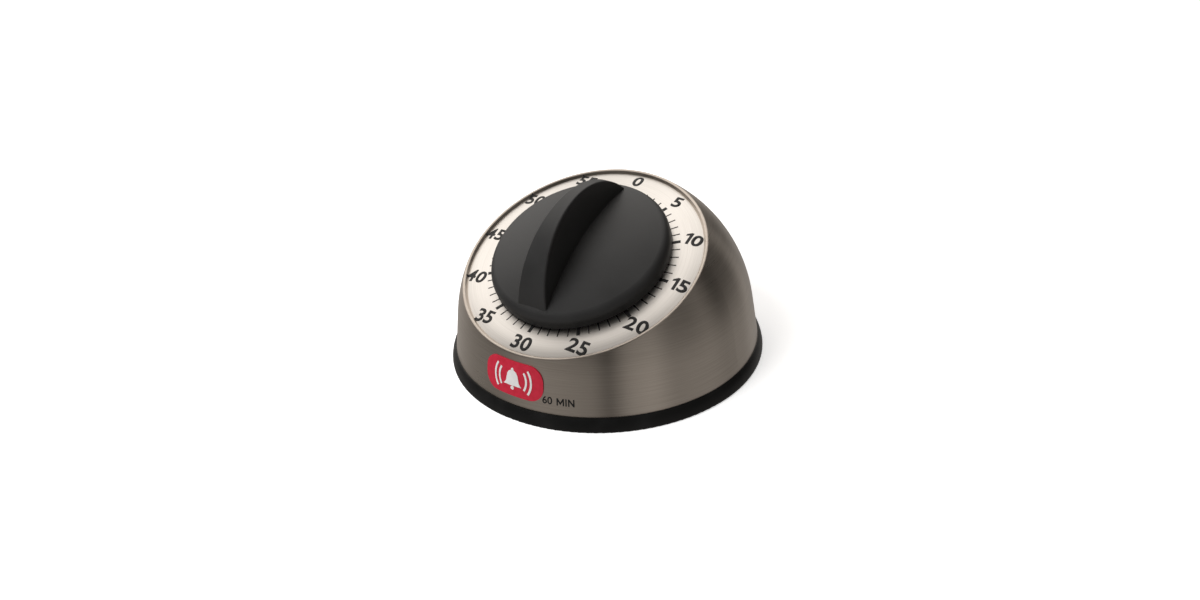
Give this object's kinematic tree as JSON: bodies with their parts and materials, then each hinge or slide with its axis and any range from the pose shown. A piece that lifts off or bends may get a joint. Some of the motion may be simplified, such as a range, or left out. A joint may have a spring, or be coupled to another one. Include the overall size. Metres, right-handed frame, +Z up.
{
  "type": "kitchen timer",
  "caption": "Wind-up kitchen timer: brushed steel dome with a sloping sixty-minute dial, dark grip knob, black base ring and a clockwork alarm inside.",
  "frame": {"origin": "centre of the base ring on the surface that the timer stands on", "axes": "+Z up, the dial leans towards -Y, +X to the right of the dial"},
  "size_m": [0.0838, 0.0838, 0.0487],
  "materials": {
    "brushed_steel": "brushed stainless sheet",
    "ring_rubber": "smooth black rubber",
    "base_black": "black enamelled sheet",
    "knob_plastic": "satin dark grey moulding",
    "brass": "stamped brass",
    "steel": "plain bright steel",
    "spring_steel": "blued spring steel",
    "felt": "pressed felt"
  },
  "bodies": {
    "timer_body": {"housing": "brushed_steel", "base_ring": "ring_rubber", "base_plate": "base_black", "base_lugs": "steel", "base_screws": "steel", "dial_studs": "steel", "stud_nuts": "steel", "felt_washer": "felt", "front_plate": "brass", "back_plate": "brass", "pillars": "brass", "pillar_screws": "steel", "front_bush": "brass", "back_bush": "brass", "mainspring": "spring_steel", "spring_post": "steel", "stop_pin": "steel", "hammer_spring": "spring_steel", "bell": "steel", "bell_post": "steel", "bell_nut": "steel"},
    "knob": {"knob": "knob_plastic", "knob_bush": "brass", "main_arbor": "steel", "ratchet_wheel": "steel", "wheel_clip": "spring_steel", "stop_arm": "steel", "alarm_cam": "brass"},
    "main_wheel": {"main_wheel": "brass", "click": "steel", "click_rivet": "brass", "click_spring": "spring_steel", "spring_rivet": "brass"},
    "second_wheel": {"second_arbor": "steel", "second_wheel": "brass", "star_wheel": "steel"},
    "third_wheel": {"third_arbor": "steel", "third_wheel": "brass"},
    "escape_wheel": {"escape_arbor": "steel", "escape_wheel": "brass"},
    "anchor": {"anchor_arbor": "steel", "anchor": "steel", "balance_bar": "brass"},
    "hammer": {"hammer_arbor": "steel", "release_lever": "steel", "hammer_arm": "steel", "hammer_head": "brass"}
  },
  "joints": [
    {"name": "knob_turn", "type": "hinge", "parent": "timer_body", "child": "knob", "pos_m": [0, -0.00861, 0.02959], "axis": [0, -0.3811, 0.9245], "range_deg": [-352, 0], "deforming": ["mainspring"]},
    {"name": "main_wheel_turn", "type": "hinge", "parent": "timer_body", "child": "main_wheel", "pos_m": [0, -0.00861, 0.02959], "axis": [0, -0.3811, 0.9245], "range_deg": [-356, 4]},
    {"name": "second_wheel_turn", "type": "hinge", "parent": "timer_body", "child": "second_wheel", "pos_m": [-0.01455, -0.00085, 0.0328], "axis": [0, -0.3811, 0.9245], "continuous": true},
    {"name": "third_wheel_turn", "type": "hinge", "parent": "timer_body", "child": "third_wheel", "pos_m": [-0.00881, 0.00526, 0.03531], "axis": [0, -0.3811, 0.9245], "continuous": true},
    {"name": "escape_wheel_turn", "type": "hinge", "parent": "timer_body", "child": "escape_wheel", "pos_m": [-0.00059, 0.00802, 0.03645], "axis": [0, -0.3811, 0.9245], "continuous": true},
    {"name": "anchor_swing", "type": "hinge", "parent": "timer_body", "child": "anchor", "pos_m": [0.00559, 0.0076, 0.03628], "axis": [0, -0.3811, 0.9245], "range_deg": [-5, 5]},
    {"name": "hammer_swing", "type": "hinge", "parent": "timer_body", "child": "hammer", "pos_m": [-0.0176, -0.00861, 0.02959], "axis": [0, -0.3811, 0.9245], "range_deg": [0, 6]}
  ],
  "couplings": [
    {"joint": "main_wheel_turn", "follows": "knob_turn", "ratio": 1},
    {"joint": "second_wheel_turn", "follows": "knob_turn", "ratio": -7},
    {"joint": "third_wheel_turn", "follows": "knob_turn", "ratio": 42},
    {"joint": "escape_wheel_turn", "follows": "knob_turn", "ratio": -252}
  ]
}
